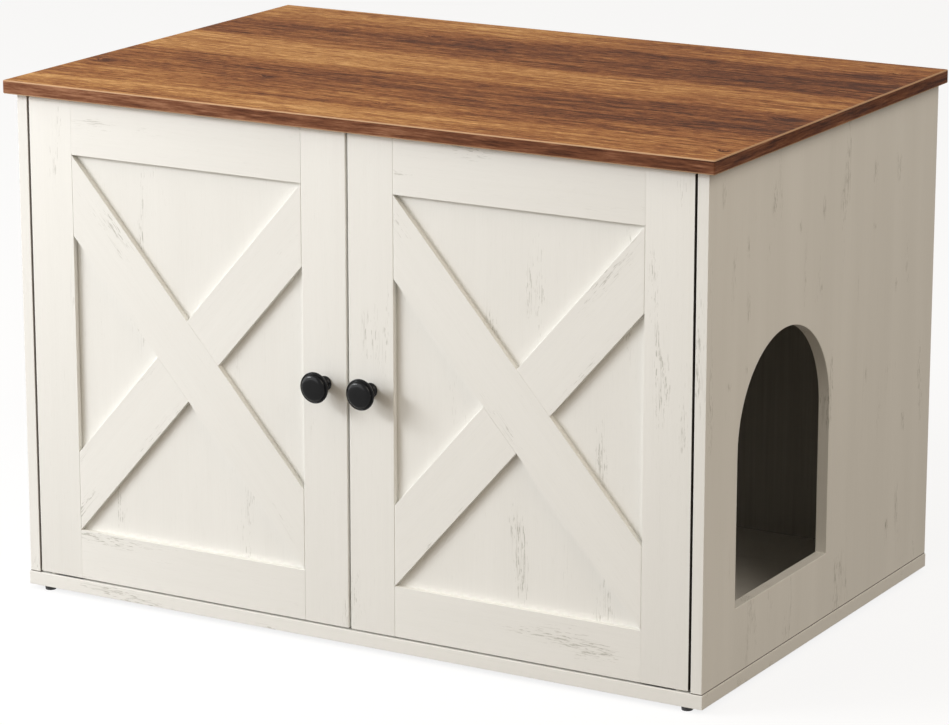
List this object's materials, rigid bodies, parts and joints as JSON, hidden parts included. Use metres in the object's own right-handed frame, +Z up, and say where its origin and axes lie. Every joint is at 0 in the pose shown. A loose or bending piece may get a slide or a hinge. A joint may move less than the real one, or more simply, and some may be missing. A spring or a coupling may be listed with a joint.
{
  "type": "cat litter box cabinet",
  "caption": "Low cabinet that hides a litter tray, with barn-style braced doors, a wood-look top and an arched side entrance.",
  "frame": {"origin": "middle of the footprint at floor level, knobs included", "axes": "+Z up, the doors face -Y, +X to the right when looking at the doors, towards the side with the entrance"},
  "size_m": [0.8, 0.545, 0.537],
  "materials": {
    "top_laminate": "rustic honey-brown plank-effect laminate, satin",
    "carcass_laminate": "whitewashed wood-grain laminate with faint grey distress marks, matt",
    "door_laminate": "whitewashed wood-grain laminate with faint grey distress marks, matt",
    "trim_laminate": "whitewashed wood-grain laminate, grain along each piece, matt",
    "back_board": "thin white-faced hardboard, matt",
    "white_plastic": "extruded and moulded off-white plastic",
    "black_plastic": "moulded black plastic",
    "black_metal": "satin black powder coat on cast metal",
    "zinc_steel": "zinc-plated steel",
    "beech": "fluted beech, unfinished",
    "nylon": "natural nylon",
    "ferrite": "bare ferrite magnet"
  },
  "bodies": {
    "cabinet": {"back_joint_strip": "white_plastic", "back_left_foot": "black_plastic", "back_right_foot": "black_plastic", "base_board": "carcass_laminate", "cabinet_leaf_screws": "zinc_steel", "cam_bolts": "zinc_steel", "cam_discs": "zinc_steel", "catch_magnets": "ferrite", "catch_screws": "zinc_steel", "divider_panel": "carcass_laminate", "dowels": "beech", "foot_screws": "zinc_steel", "front_left_foot": "black_plastic", "front_right_foot": "black_plastic", "hinge_pins": "zinc_steel", "hinge_washers": "nylon", "left_back_panel": "back_board", "left_catch": "white_plastic", "left_lower_cabinet_leaf": "zinc_steel", "left_side_panel": "carcass_laminate", "left_upper_cabinet_leaf": "zinc_steel", "right_back_panel": "back_board", "right_catch": "white_plastic", "right_lower_cabinet_leaf": "zinc_steel", "right_side_panel": "carcass_laminate", "right_upper_cabinet_leaf": "zinc_steel", "top_board": "top_laminate"},
    "left_door": {"left_door_panel": "door_laminate", "left_outer_stile": "trim_laminate", "left_inner_stile": "trim_laminate", "left_top_rail": "trim_laminate", "left_bottom_rail": "trim_laminate", "left_long_brace": "trim_laminate", "left_upper_short_brace": "trim_laminate", "left_lower_short_brace": "trim_laminate", "left_knob": "black_metal", "left_knob_screw": "zinc_steel", "left_upper_door_leaf": "zinc_steel", "left_lower_door_leaf": "zinc_steel", "left_door_leaf_screws": "zinc_steel", "left_strike_plate": "zinc_steel", "left_strike_screw": "zinc_steel"},
    "right_door": {"right_door_panel": "door_laminate", "right_outer_stile": "trim_laminate", "right_inner_stile": "trim_laminate", "right_top_rail": "trim_laminate", "right_bottom_rail": "trim_laminate", "right_long_brace": "trim_laminate", "right_upper_short_brace": "trim_laminate", "right_lower_short_brace": "trim_laminate", "right_knob": "black_metal", "right_knob_screw": "zinc_steel", "right_upper_door_leaf": "zinc_steel", "right_lower_door_leaf": "zinc_steel", "right_door_leaf_screws": "zinc_steel", "right_strike_plate": "zinc_steel", "right_strike_screw": "zinc_steel"}
  },
  "joints": [
    {"name": "left_door_swing", "type": "hinge", "parent": "cabinet", "child": "left_door", "pos_m": [-0.3635, -0.2415, 0.021], "axis": [0, 0, -1], "range_deg": [0, 130]},
    {"name": "right_door_swing", "type": "hinge", "parent": "cabinet", "child": "right_door", "pos_m": [0.3635, -0.2415, 0.021], "axis": [0, 0, 1], "range_deg": [0, 130]}
  ]
}
